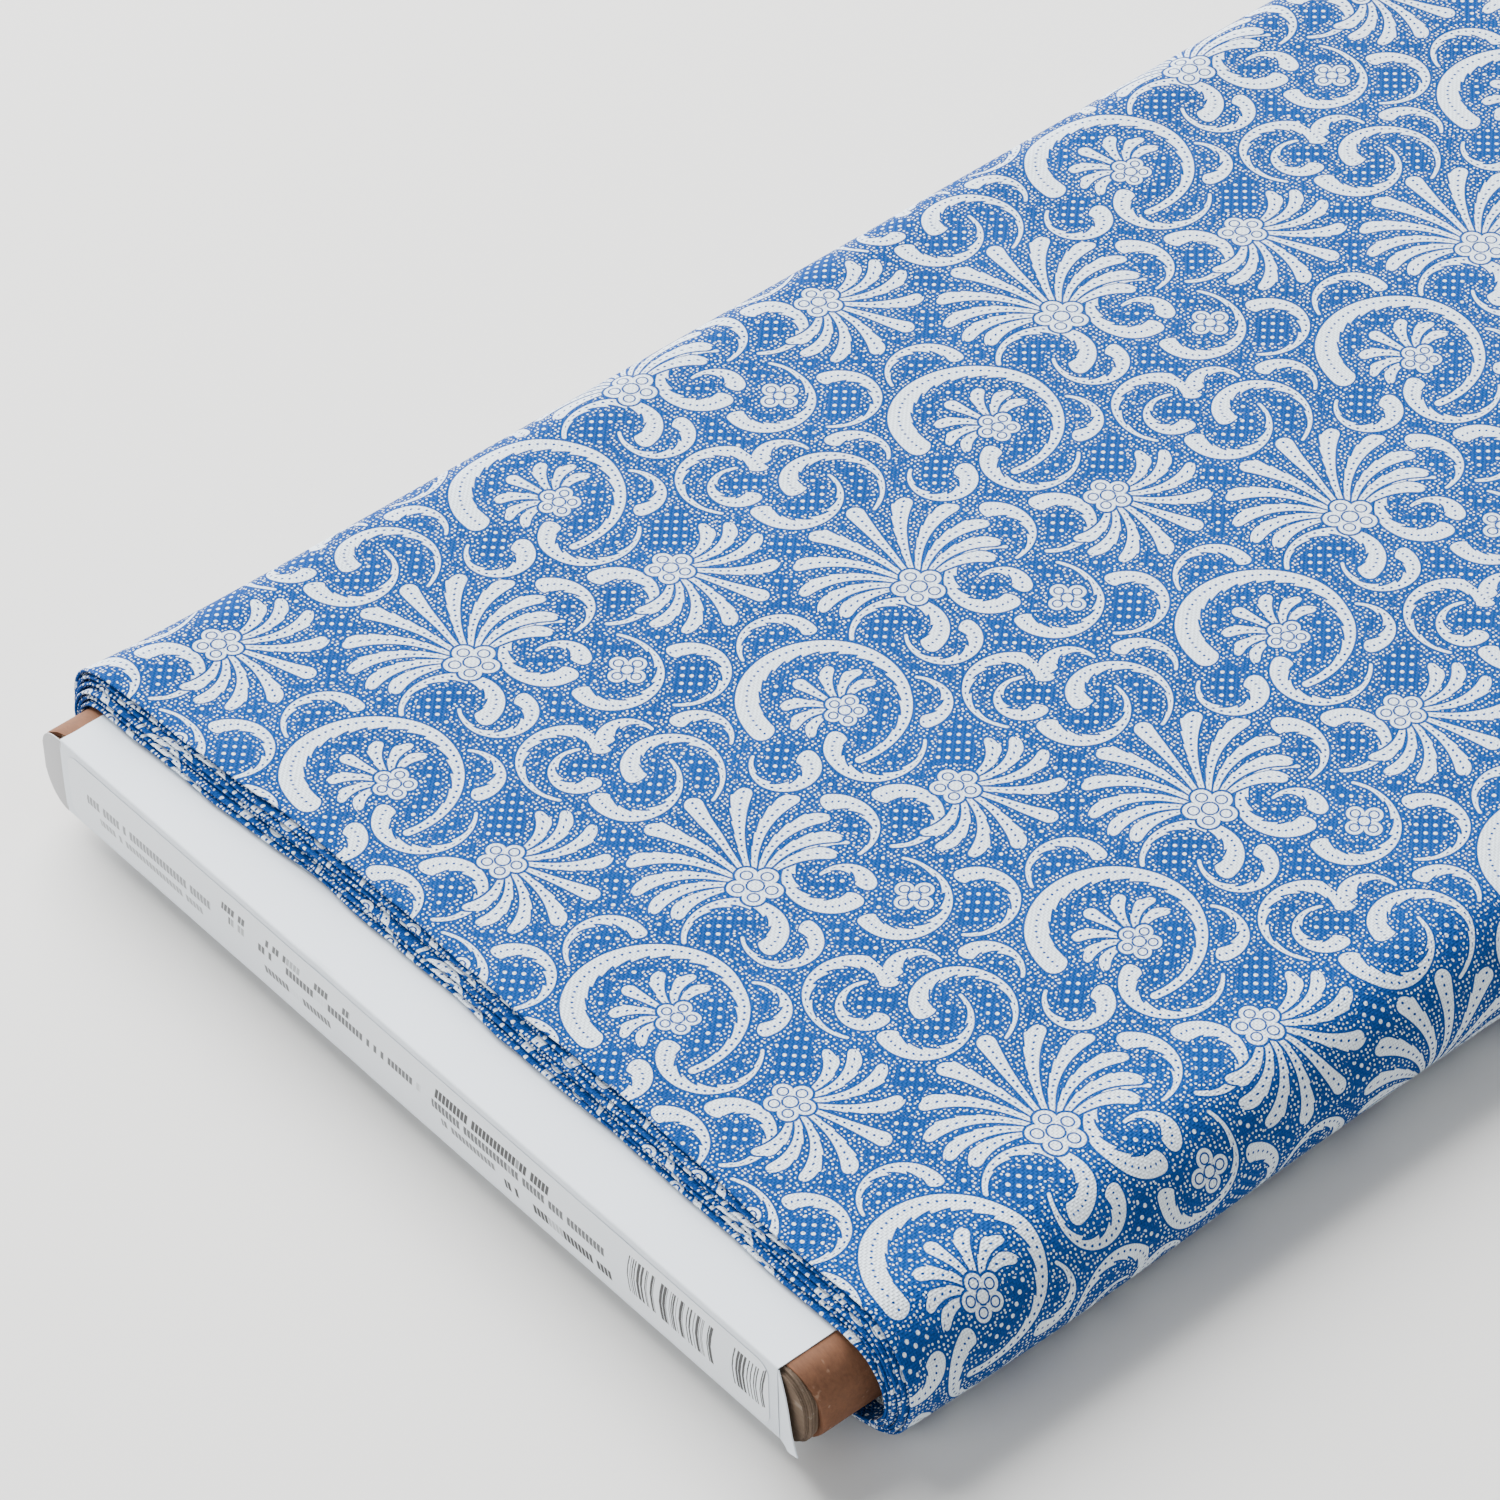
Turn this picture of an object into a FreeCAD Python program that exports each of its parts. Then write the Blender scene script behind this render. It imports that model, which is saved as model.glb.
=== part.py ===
import FreeCAD, Part
import math
import os

from FreeCAD import Vector

# A bolt of quilting cotton: folded cloth wound on a flat card board with a
# white paper end that carries the sticker.
# Millimetres. X runs along the board (the labelled end at -X), Y across it,
# Z up from the table. The origin is the middle of the footprint.

# ---------------------------------------------------------------- sizes
BOARD_W = 203.0          # 8 in
BOARD_T = 17.0           # over the paper
EDGE_R = 6.9             # rounding of the long edges, over the paper
CLOTH_LEN = 559.0        # 44 in cloth folded once
LABEL_END_BARE = 11.0    # board left showing at the labelled end
PLAIN_END_BARE = 27.0    # and at the plain end

TURNS = 6                # turns of doubled cloth
TURN_PITCH = 0.8         # one doubled turn and the air on it
LOOSE = 0.3              # air between board and cloth

PAPER_T = 0.3            # white and brown end papers
PAPER_LEG = 40.0         # how far the white paper runs in under the cloth
TAPE_LEG = 18.0          # the same for the brown paper at the plain end

SLEEVE_WALL = 1.6        # brown card wrapped into the flat sleeve
PLY_T = 0.9              # grey card plies that close the ends
LABEL_END_PLIES = 3
PLAIN_END_PLIES = 3
RIB_WALL = 1.2           # flat card tubes that keep the two faces apart
RIBS = 3
RIB_SIDE = 18.9          # room beside the outer tubes
RIB_GAP = 12.0           # room between two tubes

STICKER_T = 0.15
STICKER_R = 2.6
STICKER_SIDE = 2.1       # white paper left beside the sticker
STICKER_DROP = 1.4       # white paper left above it
STICKER_FOOT = 1.2       # and below it

EAR_OUT_DEG = 18.0       # the loose paper ear stands off the end
EAR_GAP = 0.3            # between ear and crease
EAR_PROUD = 0.2          # the ear starts this far out from the crease
EAR_EDGE = [             # free edge of the ear: (reach, depth) as fractions of
    (0.05, 0.04),        # EAR_REACH and of the end's height
    (0.42, 0.30),
    (0.58, 0.56),
    (0.68, 0.78),
    (1.00, 0.97),
]
EAR_REACH = 6.6

TAIL_GAP = 0.3           # air around the free end of the cloth
HINGE_LIFT = 0.3         # fold line of the free end, above the cloth

# -------------------------------------------------------------- derived
EAR_LEAN = math.radians(EAR_OUT_DEG)
EAR_OUT = (EAR_REACH + EAR_GAP) * math.sin(EAR_LEAN) + EAR_PROUD * math.cos(EAR_LEAN)
BOARD_LEN = LABEL_END_BARE + CLOTH_LEN + PLAIN_END_BARE   # 23 1/2 in
WIND_T = LOOSE + TURNS * TURN_PITCH
MID_Z = WIND_T + BOARD_T / 2
TOP_Z = 2 * MID_Z

X_END = (EAR_OUT - BOARD_LEN) / 2        # the labelled end face
X_PLAIN = X_END + BOARD_LEN              # the plain end face
X_CLOTH = X_END + LABEL_END_BARE

FLAT_Y = BOARD_W / 2 - EDGE_R            # where the long edges start to round
SLEEVE_T = BOARD_T - 2 * PAPER_T
SLEEVE_R = EDGE_R - PAPER_T
BORE_W = BOARD_W - 2 * SLEEVE_WALL
BORE_T = SLEEVE_T - 2 * SLEEVE_WALL
BORE_R = SLEEVE_R - SLEEVE_WALL
RIB_W = (BORE_W - 2 * RIB_SIDE - (RIBS - 1) * RIB_GAP) / RIBS
STICKER_L = 2 * (FLAT_Y - STICKER_SIDE)
STICKER_H = BOARD_T - STICKER_DROP - STICKER_FOOT

X_SLEEVE = X_END + PAPER_T + LABEL_END_PLIES * PLY_T
X_SLEEVE_END = X_PLAIN - PAPER_T
X_RIB_END = X_SLEEVE_END - PLAIN_END_PLIES * PLY_T


def profile(width, height, radius, x):
    """Rounded rectangle across the board, centred on its middle."""
    y = width / 2
    z = height / 2
    flat_y = y - radius
    flat_z = z - radius
    k = radius * math.sqrt(0.5)
    edges = []
    for sy, sz in ((1, 1), (1, -1), (-1, -1), (-1, 1)):
        side = Vector(x, sy * y, MID_Z + sz * flat_z)
        face = Vector(x, sy * flat_y, MID_Z + sz * z)
        mid = Vector(x, sy * (flat_y + k), MID_Z + sz * (flat_z + k))
        edges.append(Part.Arc(face, mid, side).toShape())
    for s in (1, -1):
        a = Vector(x, -flat_y, MID_Z + s * z)
        b = Vector(x, flat_y, MID_Z + s * z)
        edges.append(Part.makeLine(a, b))
        a = Vector(x, s * y, MID_Z - flat_z)
        b = Vector(x, s * y, MID_Z + flat_z)
        edges.append(Part.makeLine(a, b))
    wire = Part.Wire(Part.__sortEdges__(edges))
    return Part.Face(wire)


def bar(width, height, radius, x0, x1):
    """A length of board-shaped bar."""
    return profile(width, height, radius, x0).extrude(Vector(x1 - x0, 0, 0))


def around_board(gap, x0, x1):
    """The board's outline, grown evenly by a gap."""
    return bar(BOARD_W + 2 * gap, BOARD_T + 2 * gap, EDGE_R + gap, x0, x1)


def block(x0, x1, y0, y1, z0, z1):
    """Box between two corners."""
    return Part.makeBox(x1 - x0, y1 - y0, z1 - z0, Vector(x0, y0, z0))


# ------------------------------------------------------------ the board
def sleeve():
    outer = bar(BOARD_W, SLEEVE_T, SLEEVE_R, X_SLEEVE, X_SLEEVE_END)
    bore = bar(BORE_W, BORE_T, BORE_R, X_SLEEVE, X_SLEEVE_END)
    return outer.cut(bore)


def label_end_ply(index):
    x = X_END + PAPER_T + index * PLY_T
    return bar(BOARD_W, SLEEVE_T, SLEEVE_R, x, x + PLY_T)


def plain_end_ply(index):
    x = X_RIB_END + index * PLY_T
    return bar(BORE_W, BORE_T, BORE_R, x, x + PLY_T)


def rib(index):
    """Folded card tube that fills the sleeve from face to face."""
    step = RIB_W + RIB_GAP
    y = (index - (RIBS - 1) / 2) * step - RIB_W / 2
    low = MID_Z - BORE_T / 2
    high = MID_Z + BORE_T / 2
    outer = block(X_SLEEVE, X_RIB_END, y, y + RIB_W, low, high)
    hollow = block(
        X_SLEEVE, X_RIB_END,
        y + RIB_WALL, y + RIB_W,
        low + RIB_WALL, high - RIB_WALL,
    )
    return outer.cut(hollow)


def paper_legs(x0, x1):
    """Paper glued to the top and the underside of the board."""
    low = MID_Z - BOARD_T / 2
    high = MID_Z + BOARD_T / 2
    top = block(x0, x1, -FLAT_Y, FLAT_Y, high - PAPER_T, high)
    under = block(x0, x1, -FLAT_Y, FLAT_Y, low, low + PAPER_T)
    return top, under


def end_paper():
    """White paper: over the top, down the end, back underneath."""
    face = bar(BOARD_W, BOARD_T, EDGE_R, X_END, X_END + PAPER_T)
    spare = block(
        X_END - 1, X_END + 1,
        -BOARD_W, -FLAT_Y,
        0, TOP_Z,
    )
    top, under = paper_legs(X_END, X_END + PAPER_LEG)
    return face.cut(spare).fuse([top, under]).removeSplitter()


def plain_end_paper():
    """Brown gummed paper over the plain end."""
    face = bar(BOARD_W, BOARD_T, EDGE_R, X_SLEEVE_END, X_PLAIN)
    top, under = paper_legs(X_PLAIN - TAPE_LEG, X_PLAIN)
    return face.fuse([top, under]).removeSplitter()


def sticker():
    high = MID_Z + BOARD_T / 2 - STICKER_DROP
    body = block(
        X_END - STICKER_T, X_END,
        -STICKER_L / 2, STICKER_L / 2,
        high - STICKER_H, high,
    )
    corners = [e for e in body.Edges if e.Length < 2 * STICKER_T]
    return body.makeFillet(STICKER_R, corners)


def paper_ear():
    """Corner of the white paper that has come unstuck."""
    high = MID_Z + BOARD_T / 2
    start = -FLAT_Y - EAR_GAP
    x = X_END - EAR_PROUD
    points = [Vector(x, start, high - EAR_EDGE[0][1] * BOARD_T)]
    for reach, depth in EAR_EDGE:
        y = start - reach * EAR_REACH
        points.append(Vector(x, y, high - depth * BOARD_T))
    points.append(Vector(x, start, high - BOARD_T))
    points.append(points[0])
    flat = Part.Face(Part.makePolygon(points)).extrude(Vector(PAPER_T, 0, 0))
    hinge = Vector(X_END, -FLAT_Y, MID_Z)
    flat.rotate(hinge, Vector(0, 0, 1), -EAR_OUT_DEG)
    return flat


# ------------------------------------------------------------ the cloth
X_CLOTH_END = X_CLOTH + CLOTH_LEN
TAIL_STEP = WIND_T - TURN_PITCH          # the cloth under the free end


def tail_region(margin):
    """Room of the free end: the top, and half way down the far edge."""
    y = -FLAT_Y + margin
    return block(
        X_CLOTH - 1, X_CLOTH_END + 1,
        y, BOARD_W,
        MID_Z + margin, TOP_Z + 1,
    )


def wound_cloth():
    outer = around_board(WIND_T, X_CLOTH, X_CLOTH_END)
    hollow = around_board(LOOSE, X_CLOTH - 1, X_CLOTH_END + 1)
    under_tail = around_board(TAIL_STEP, X_CLOTH - 1, X_CLOTH_END + 1)
    step = tail_region(0).cut(under_tail)
    return outer.cut(hollow).cut(step)


def cloth_tail():
    outer = around_board(WIND_T, X_CLOTH, X_CLOTH_END)
    under = around_board(TAIL_STEP + TAIL_GAP, X_CLOTH - 1, X_CLOTH_END + 1)
    return outer.cut(under).common(tail_region(TAIL_GAP))


# ------------------------------------------------------------- write out
def all_nodes():
    nodes = {
        "sleeve": sleeve(),
        "end_paper": end_paper(),
        "plain_end_paper": plain_end_paper(),
        "paper_ear": paper_ear(),
        "sticker": sticker(),
        "wound_cloth": wound_cloth(),
        "cloth_tail": cloth_tail(),
    }
    for i in range(LABEL_END_PLIES):
        nodes["label_end_ply_%d" % (i + 1)] = label_end_ply(i)
    for i in range(PLAIN_END_PLIES):
        nodes["plain_end_ply_%d" % (i + 1)] = plain_end_ply(i)
    for i in range(RIBS):
        nodes["rib_%d" % (i + 1)] = rib(i)
    return nodes


os.makedirs("parts", exist_ok=True)
for name, shape in sorted(all_nodes().items()):
    solid = shape.Solids[0] if len(shape.Solids) == 1 else shape
    solid.exportStep("parts/%s.step" % name)
    box = solid.BoundBox
    print("%-18s solids %d valid %s volume %10.1f  x %8.2f %8.2f  y %8.2f %8.2f  z %6.2f %6.2f" % (
        name, len(shape.Solids), solid.isValid(), solid.Volume,
        box.XMin, box.XMax, box.YMin, box.YMax, box.ZMin, box.ZMax))
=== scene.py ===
import math

import bmesh
import bpy
import numpy as np
from mathutils import Matrix, Vector


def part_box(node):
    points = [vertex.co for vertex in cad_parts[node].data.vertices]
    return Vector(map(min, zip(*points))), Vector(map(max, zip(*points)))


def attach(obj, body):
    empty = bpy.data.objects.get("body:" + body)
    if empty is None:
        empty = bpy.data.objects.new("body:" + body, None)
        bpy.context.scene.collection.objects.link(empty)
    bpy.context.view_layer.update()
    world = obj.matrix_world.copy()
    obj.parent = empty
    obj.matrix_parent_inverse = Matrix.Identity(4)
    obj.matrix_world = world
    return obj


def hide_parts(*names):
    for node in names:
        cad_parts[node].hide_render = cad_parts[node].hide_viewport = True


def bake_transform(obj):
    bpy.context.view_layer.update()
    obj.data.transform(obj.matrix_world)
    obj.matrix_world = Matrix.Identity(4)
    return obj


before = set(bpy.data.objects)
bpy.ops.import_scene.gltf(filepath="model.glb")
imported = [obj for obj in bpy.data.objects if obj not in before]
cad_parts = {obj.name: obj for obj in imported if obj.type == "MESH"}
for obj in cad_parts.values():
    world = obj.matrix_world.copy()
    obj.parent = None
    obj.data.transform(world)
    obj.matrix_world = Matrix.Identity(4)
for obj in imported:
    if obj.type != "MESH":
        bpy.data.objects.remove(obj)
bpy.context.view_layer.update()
rng = np.random.default_rng(7)

# %% [markdown]
# A bolt of quilting cotton: doubled cloth wound six times round a flat card
# board. The board's labelled end sticks out of the cloth. Everything here is
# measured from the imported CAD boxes, in metres.

# %% Sizes
MM = 0.001
lo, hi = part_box("wound_cloth")
X_CLOTH, X_FAR = lo.x, hi.x
TOP = hi.z
MID = TOP / 2
lo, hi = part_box("end_paper")
X_END = lo.x
PAPER_TOP, PAPER_UNDER = hi.z, lo.z
BOARD_T = hi.z - lo.z
FLAT_Y = -lo.y
X_LEG = hi.x
lo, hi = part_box("sleeve")
BOARD_W = hi.y - lo.y
SLEEVE_T = hi.z - lo.z
X_SLEEVE, X_SLEEVE_END = lo.x, hi.x
EDGE_R = BOARD_W / 2 - FLAT_Y
TURNS = 6
AIR = 0.3 * MM
PITCH = (MID - BOARD_T / 2 - AIR) / TURNS
print("board", BOARD_W, BOARD_T, "edge radius", EDGE_R, "turn pitch", PITCH)


# %% [markdown]
# Small helpers that every piece uses: a mesh from a grid of points, smooth
# noise along a line, and one call that hands a finished piece to its body.

# %% Helpers
def smooth(t):
    t = np.clip(t, 0, 1)
    return t * t * (3 - 2 * t)


def wander(s, scale, seed, octaves=3):
    """Smooth noise from -1 to 1 along a length."""
    r = np.random.default_rng(seed)
    out = np.zeros_like(s, dtype=float)
    for k in range(octaves):
        f = 2.0 ** k / scale
        a, b, c = r.uniform(0, 2 * math.pi, 3)
        g = np.sin(2 * math.pi * f * s + a)
        g = g + np.sin(2 * math.pi * f * 1.618 * s + b)
        g = g + np.sin(2 * math.pi * f * 0.731 * s + c)
        out += g / 3 / 1.7 ** k
    return out / 1.6


def new_mesh(name, verts, faces, uvs=None, bake=None):
    """Object from points and faces; the UVs are one per face corner."""
    mesh = bpy.data.meshes.new(name)
    mesh.from_pydata([tuple(v) for v in verts], [], [tuple(f) for f in faces])
    for layer, values in (("cloth", uvs), ("OFBake", bake)):
        if values is not None:
            uv = mesh.uv_layers.new(name=layer)
            uv.data.foreach_set("uv", np.asarray(values, np.float32).ravel())
    mesh.validate()
    obj = bpy.data.objects.new(name, mesh)
    bpy.context.scene.collection.objects.link(obj)
    mesh.shade_smooth()
    return obj


def outward(obj):
    """Turns every face of a closed mesh outwards."""
    bm = bmesh.new()
    bm.from_mesh(obj.data)
    bmesh.ops.recalc_face_normals(bm, faces=bm.faces)
    bm.to_mesh(obj.data)
    bm.free()
    return obj


def crisp(obj, degrees=40):
    """Keeps folds and cut edges sharp under smooth shading."""
    obj.data.set_sharp_from_angle(angle=math.radians(degrees))
    return obj


def paint(obj, material):
    obj.data.materials.clear()
    obj.data.materials.append(material)
    return obj


# %% [markdown]
# The cloth follows a path round the board. One function gives the point and
# the outward direction at any share of a turn and any distance off the board.
# It starts half way down the far long edge, where the cloth's free end lies,
# and runs under the board, up the near edge and back over the top.

# %% Path round the board
SLACK = 2.2 * MM         # the near edge of the winding hangs loose
N_SIDE, N_FLAT = 14, 44
PY, PZ, OUT_Y, OUT_Z, TURN, SHARE, ALONG = range(7)      # columns of a station


def corner_arc(cy, sy, a0, a1, radius, n):
    a = np.linspace(a0, a1, n)
    y = sy * (cy + radius * np.cos(a))
    z = radius * np.sin(a)
    return np.stack([y, z, sy * np.cos(a), np.sin(a)], 1)


def ring(gap):
    """Points (y, z) and outward directions once round the board at this gap."""
    g = gap + AIR
    far_r = EDGE_R + g
    far_flat = BOARD_T / 2 - EDGE_R
    far_c = BOARD_W / 2 - EDGE_R
    near_c = BOARD_W / 2 + SLACK - BOARD_T / 2
    near_z = BOARD_T / 2 + g
    near_y = BOARD_T / 2 + AIR + 0.72 * gap
    parts = []
    # far edge, lower half
    p = corner_arc(far_c, 1, 0, -math.pi / 2, far_r, N_SIDE)
    p[:, 1] -= far_flat
    start = np.array([[far_c + far_r, 0, 1, 0], [far_c + far_r, -far_flat * 0.6, 1, 0]])
    parts += [start, p]
    # underside
    ys = np.linspace(far_c, -near_c, N_FLAT + 2)[1:-1]
    z = -(BOARD_T / 2 + g)
    parts.append(np.stack([ys, 0 * ys + z, 0 * ys, 0 * ys - 1], 1))
    # near edge, a loose half round
    a = np.linspace(-math.pi / 2, math.pi / 2, 2 * N_SIDE)
    y = -(near_c + near_y * np.cos(a))
    parts.append(np.stack([y, near_z * np.sin(a), -np.cos(a), np.sin(a)], 1))
    # top
    ys = np.linspace(-near_c, far_c, N_FLAT + 2)[1:-1]
    parts.append(np.stack([ys, 0 * ys - z, 0 * ys, 0 * ys + 1], 1))
    # far edge, upper half
    p = corner_arc(far_c, 1, math.pi / 2, 0, far_r, N_SIDE)
    p[:, 1] += far_flat
    parts += [p, np.array([[far_c + far_r, far_flat * 0.4, 1, 0]])]
    return np.concatenate(parts)


RING_N = len(ring(0.0))
STEP_UP = 0.10           # share of a turn in which the cloth climbs on to the turn below
print("stations in a turn", RING_N)


def winding(first, last):
    """Stations of the cloth from turn `first` to turn `last`."""
    stations = []
    for k in range(first, last):
        for i, f in enumerate(np.arange(RING_N) / RING_N):
            if k == 0 and f < STEP_UP:
                continue
            gap = (k - 1 + smooth(f / STEP_UP)) * PITCH
            stations.append(np.append(ring(gap)[i], [k, f]))
    p = np.array(stations)
    d = np.hypot(np.diff(p[:, PY]), np.diff(p[:, PZ]))
    s = np.concatenate([[0], np.cumsum(d)])
    return np.column_stack([p, s])


turns = winding(0, TURNS)
print("length of cloth on the bolt, m", turns[-1, ALONG])


# %% [markdown]
# The cloth is folded once, so the labelled end shows soft folds, one per turn,
# and the plain end shows the cut edges. A turn is drawn as one flat tube: outer
# face, rounded fold, inner face. Each turn stops a little further from the end
# than the one below it and wanders a little, the way a hand-wound bolt does.

# %% Doubled cloth
THICK = 0.50 * MM        # two plies
FOLD_PUFF = 0.02 * MM    # the fold stands a little thicker
NX = 46
# the near edge swells out by this much, this far from the end, over this length
SWELL, SWELL_AT, SWELL_WIDE = 2.0 * MM, 32 * MM, 52 * MM


def front_edge(st):
    """Where the fold lies along the board, for every station."""
    y, k, s = st[:, PY], st[:, TURN], st[:, ALONG]
    far = smooth((y - 20 * MM) / (80 * MM))
    x = X_END + 12.1 * MM - 3.2 * MM * far + 0.60 * MM * k
    for j in range(TURNS):
        x += 0.85 * MM * wander(s, 0.12, 40 + j) * (k == j)
    x += 0.30 * MM * wander(s, 0.035, 91)
    near = smooth((-y - 98 * MM) / (8 * MM))
    return x - 0.6 * MM * near


def back_edge(st):
    k, s = st[:, TURN], st[:, ALONG]
    return X_FAR - 0.5 * MM * k + 1.0 * MM * wander(s, 0.09, 77)


def lift(st):
    """The folds spring apart near the end: more on top, none underneath."""
    y, z, k = st[:, PY], st[:, PZ], st[:, TURN]
    free = smooth((z + 6 * MM) / (16 * MM))
    total = np.zeros(len(st))
    for j in range(TURNS):
        extra = 0.17 * MM * (1 + 1.3 * wander(y + 0.31 * j, 0.08, 300 + j))
        if j == TURNS - 1:
            extra = extra + 0.26 * MM * (1 + wander(y, 0.13, 350))
        total += np.where(k >= j, np.maximum(extra, 0), 0)
    return total * free


def doubled_cloth(name, st, nx=NX, waves=0.0):
    m = len(st)
    xa, xb = front_edge(st), back_edge(st)
    rise = lift(st)
    t = np.linspace(0, 1, nx)
    # the columns crowd towards the fold
    t = (0.35 * t ** 3.2 + 0.65 * t ** 1.15) if nx > 20 else t ** 2.6
    fold = np.radians(np.linspace(-66, 66, 5))
    half = THICK / 2
    X, N, U = [], [], []
    length = xb - xa
    front = half + FOLD_PUFF
    for a in fold:
        X.append(xa + front - front * np.cos(a))
        N.append(np.full(m, front * np.sin(a)))
        U.append(np.full(m, front * a))
    for side in (1, -1):
        cols = range(nx) if side > 0 else range(nx - 1, -1, -1)
        for c in cols:
            x = xa + front + (length - front) * t[c]
            puff = FOLD_PUFF * np.exp(-(x - xa) / (2.2 * MM))
            X.append(x)
            N.append(side * (half + puff))
            U.append(side * (x - xa))
    X, N, U = np.array(X).T, np.array(N).T, np.array(U).T
    back = np.exp(-(X - xa[:, None]) / (16 * MM))
    N = N + rise[:, None] * back
    if waves:
        y = st[:, PY][:, None]
        w = wander((X + 0.45 * y), 0.16, 12) * wander((X - 0.8 * y), 0.23, 13)
        up = smooth((st[:, PZ][:, None] + 3 * MM) / (14 * MM))
        N = N + waves * w * up
    n_off = N + PITCH / 2
    swell = SWELL * np.exp(-((X - X_CLOTH - SWELL_AT) / SWELL_WIDE) ** 2)
    loose = smooth((-st[:, PY][:, None] - 84 * MM) / (16 * MM))
    Y = st[:, PY][:, None] + st[:, OUT_Y][:, None] * n_off - swell * loose
    Z = st[:, PZ][:, None] + st[:, OUT_Z][:, None] * n_off + MID
    V = np.repeat(st[:, ALONG][:, None], X.shape[1], 1)
    j = X.shape[1]
    verts = np.stack([X, Y, Z], -1).reshape(-1, 3)
    faces, uv, bake = [], [], []
    span = (V - V.min()) / (V.max() - V.min())
    for i in range(m - 1):
        for c in range(j):
            d = (c + 1) % j
            faces.append((i * j + c, i * j + d, (i + 1) * j + d, (i + 1) * j + c))
            is_outer = (U[i, c] + U[i, d]) >= 0
            for (p, q) in ((i, c), (i, d), (i + 1, d), (i + 1, c)):
                u = U[p, q]
                if c == j - 1:
                    u = -abs(u)
                uv.append((u, V[p, q]))
                low, tall = (0.002, 0.776) if is_outer else (0.784, 0.214)
                across = max(U[p, q] if is_outer else -U[p, q], 0) / U.max()
                bake.append((0.002 + 0.996 * across, low + tall * span[p, q]))
    # the two raw ends are closed too
    for i in (0, m - 1):
        ring_ids = [i * j + c for c in range(j)]
        faces.append(ring_ids if i else ring_ids[::-1])
        for c in ring_ids:
            uv.append((0.0, V[i, 0]))
            bake.append((0.999, 0.781))
    obj = new_mesh(name, verts, faces, uv, bake)
    bm = bmesh.new()
    bm.from_mesh(obj.data)
    bmesh.ops.triangulate(bm, faces=[f for f in bm.faces if len(f.verts) > 4])
    bmesh.ops.recalc_face_normals(bm, faces=bm.faces)
    bm.to_mesh(obj.data)
    bm.free()
    obj.data.shade_smooth()
    return obj


outer = turns[turns[:, TURN] == TURNS - 1]
split = np.argmax((outer[:, PY] < -FLAT_Y) & (outer[:, PZ] < 0))
inner_cloth = doubled_cloth("inner_turns", turns[turns[:, TURN] < TURNS - 1], nx=16)
under_cloth = doubled_cloth("outer_turn_under", outer[: split + 1], nx=30)
tail_cloth = doubled_cloth("outer_turn_top", outer[split:], waves=0.25 * MM)
for o in (inner_cloth, under_cloth, tail_cloth):
    print(o.name, len(o.data.polygons), "faces")


# %% [markdown]
# The board's end, from the inside out: three plies of grey card, the brown
# sleeve cut a little short of them on the near side, the white paper folded
# over both, its loose near corner, and the sticker.

# %% Board profile
def board_ring(width, height, radius, n=10):
    """Outline of the board, anticlockwise seen from +X, as (y, z)."""
    y, z = width / 2 - radius, height / 2 - radius
    pts = []
    for cy, cz, a0 in ((y, z, 0), (-y, z, 90), (-y, -z, 180), (y, -z, 270)):
        a = np.radians(np.linspace(a0, a0 + 90, n))
        pts.append(np.stack([cy + radius * np.cos(a), cz + radius * np.sin(a)], 1))
    out = np.concatenate(pts)
    seg = []
    for i in range(len(out)):
        a, b = out[i], out[(i + 1) % len(out)]
        k = max(1, int(np.hypot(*(b - a)) / (4 * MM)))
        for q in range(k):
            seg.append(a + (b - a) * q / k)
    return np.array(seg)


def tube(name, outline, x0, x1, wall=0.0, nx=12):
    """Board-shaped bar or tube; x0 may differ for every point of the outline."""
    m = len(outline)
    x0 = np.broadcast_to(x0, (m,))
    normal = np.roll(outline, -1, 0) - np.roll(outline, 1, 0)
    normal = np.stack([normal[:, 1], -normal[:, 0]], 1)
    normal /= np.linalg.norm(normal, axis=1)[:, None]
    loops = []
    length = x1 - x0
    first = np.array([0, 0.012, 0.03, 0.07, 0.15, 0.4]) * min(20 * MM, np.min(length))
    xs = [x0 + s for s in first]
    xs += [x0 + first[-1] + (length - first[-1]) * r for r in np.linspace(0, 1, nx)[1:]]
    for n, x in enumerate(xs):
        ease = 0.12 * MM * max(0, 1 - n / 2)
        o = outline - normal * ease
        loops.append(np.column_stack([x, o[:, 0], o[:, 1] + MID]))
    if wall:
        for x in xs[::-1]:
            o = outline - normal * wall
            loops.append(np.column_stack([x, o[:, 0], o[:, 1] + MID]))
    verts = np.concatenate(loops)
    faces = []
    L = len(loops)
    for a in range(L if wall else L - 1):
        b = (a + 1) % L
        for i in range(m):
            k = (i + 1) % m
            faces.append((a * m + i, a * m + k, b * m + k, b * m + i))
    if not wall:
        faces.append(list(range(m))[::-1])
        faces.append([(L - 1) * m + i for i in range(m)])
    return crisp(outward(new_mesh(name, verts, faces)))


# %% [markdown]
# The sleeve's cut edge is a little ragged, and lower at the far corner, where
# the card is worn. The plies inside it stand a fraction proud or deep of each
# other, and bend back where the far corner is rounded.

# %% Sleeve and plies
outline = board_ring(BOARD_W, SLEEVE_T, EDGE_R - 0.3 * MM)
s_line = np.cumsum(np.hypot(*(outline - np.roll(outline, 1, 0)).T))
side = np.clip((-outline[:, 0] - FLAT_Y) / EDGE_R, 0, 1)
far_side = np.clip((outline[:, 0] - FLAT_Y) / EDGE_R, 0, 1)
cut = X_SLEEVE + 0.15 * MM * wander(s_line, 0.05, 5) - 1.2 * MM * (1 - side)
cut = cut + side * (0.4 * MM - 0.9 * MM * np.clip(outline[:, 1] / (SLEEVE_T / 2), -1, 1))
cut = np.maximum(cut - 1.0 * MM * far_side, X_END + 0.35 * MM)
torn = 0.25 * MM * rng.uniform(-1, 1, len(cut))
cut = cut + far_side * np.where(outline[:, 1] < 0.35 * SLEEVE_T, 0.9 * MM, torn)
sleeve = tube("brown_sleeve", outline, cut, X_SLEEVE_END, wall=1.6 * MM)

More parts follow.
